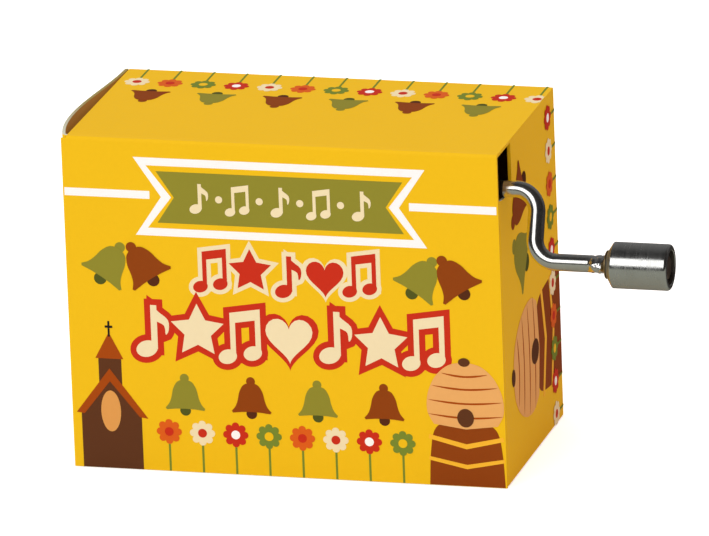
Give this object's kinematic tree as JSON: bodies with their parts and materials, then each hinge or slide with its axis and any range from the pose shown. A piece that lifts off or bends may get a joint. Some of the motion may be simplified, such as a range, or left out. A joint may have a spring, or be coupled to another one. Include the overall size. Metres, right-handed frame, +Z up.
{
  "type": "hand-crank music box",
  "caption": "Small folded card carton holding a hand-cranked comb movement; a bent wire crank with a turned knob comes out of a notch in its right end.",
  "frame": {"origin": "centre of the carton's bottom face", "axes": "+X towards the crank, +Y from the title panel to the back, +Z up, as the carton stands"},
  "size_m": [0.0848, 0.0345, 0.0465],
  "materials": {
    "printed_card": "smooth printed card, satin",
    "nickel_wire": "bright nickel plate",
    "turned_steel": "fine turned",
    "rivet_end": "hammered, brownish",
    "brass": "satin",
    "spring_steel": "ground",
    "pin_steel": "polished",
    "plated_steel": "zinc plated, satin",
    "screw_steel": "plated",
    "cast_zinc": "matt cast zinc",
    "lead": "matt soft metal",
    "gear_plastic": "moulded, satin",
    "adhesive_foam": "matt foam tape"
  },
  "bodies": {
    "carton": {"front_panel": "printed_card", "top_panel": "printed_card", "back_panel": "printed_card", "bottom_panel": "printed_card", "glue_flap": "printed_card", "right_end_panel": "printed_card", "right_tuck_flap": "printed_card", "right_dust_flap": "printed_card", "adhesive_pads": "adhesive_foam", "bedplate": "plated_steel", "comb_base": "cast_zinc", "comb": "spring_steel", "comb_screws": "screw_steel", "tuning_weights": "lead", "cylinder_bearing_top": "plated_steel", "cylinder_bearing_bottom": "plated_steel", "bearing_screws": "screw_steel", "shaft_bearing_inner": "plated_steel", "shaft_bearing_outer": "plated_steel"},
    "crank": {"crank_wire": "nickel_wire", "worm": "gear_plastic", "shaft_clip": "plated_steel", "knob_washer": "brass", "wire_rivet_end": "rivet_end"},
    "knob": {"knob": "turned_steel"},
    "cylinder": {"cylinder_tube": "brass", "cylinder_end_caps": "brass", "cylinder_arbor": "pin_steel", "cylinder_pins": "pin_steel", "worm_wheel": "gear_plastic"},
    "left_end": {"left_end_panel": "printed_card"},
    "left_tuck": {"left_tuck_flap": "printed_card"},
    "left_dust_top": {"left_dust_flap_top": "printed_card"},
    "left_dust_bottom": {"left_dust_flap_bottom": "printed_card"}
  },
  "joints": [
    {"name": "crank_turn", "type": "hinge", "parent": "carton", "child": "crank", "pos_m": [0, -0.01205, 0.0408], "axis": [1, 0, 0], "continuous": true},
    {"name": "knob_spin", "type": "hinge", "parent": "crank", "child": "knob", "pos_m": [0.04905, -0.01559, 0.03204], "axis": [1, 0, 0], "continuous": true},
    {"name": "cylinder_turn", "type": "hinge", "parent": "carton", "child": "cylinder", "pos_m": [0.0119, -0.00415, 0.03], "axis": [0, 0, 1], "continuous": true},
    {"name": "left_end_open", "type": "hinge", "parent": "carton", "child": "left_end", "pos_m": [-0.03, 0.01575, 0.02], "axis": [0, 0, -1], "range_deg": [0, 120]},
    {"name": "left_tuck_fold", "type": "hinge", "parent": "left_end", "child": "left_tuck", "pos_m": [-0.03, -0.0152, 0.02], "axis": [0, 0, 1], "range_deg": [0, 36]},
    {"name": "left_dust_top_open", "type": "hinge", "parent": "carton", "child": "left_dust_top", "pos_m": [-0.029, 0, 0.0465], "axis": [0, 1, 0], "range_deg": [0, 90]},
    {"name": "left_dust_bottom_open", "type": "hinge", "parent": "carton", "child": "left_dust_bottom", "pos_m": [-0.029, 0, 0], "axis": [0, -1, 0], "range_deg": [0, 90]}
  ],
  "couplings": [
    {"joint": "cylinder_turn", "follows": "crank_turn", "ratio": -0.033333},
    {"joint": "left_tuck_fold", "follows": "left_end_open", "ratio": 0.3},
    {"joint": "left_dust_top_open", "follows": "left_end_open", "ratio": 0.75},
    {"joint": "left_dust_bottom_open", "follows": "left_end_open", "ratio": 0.75}
  ]
}
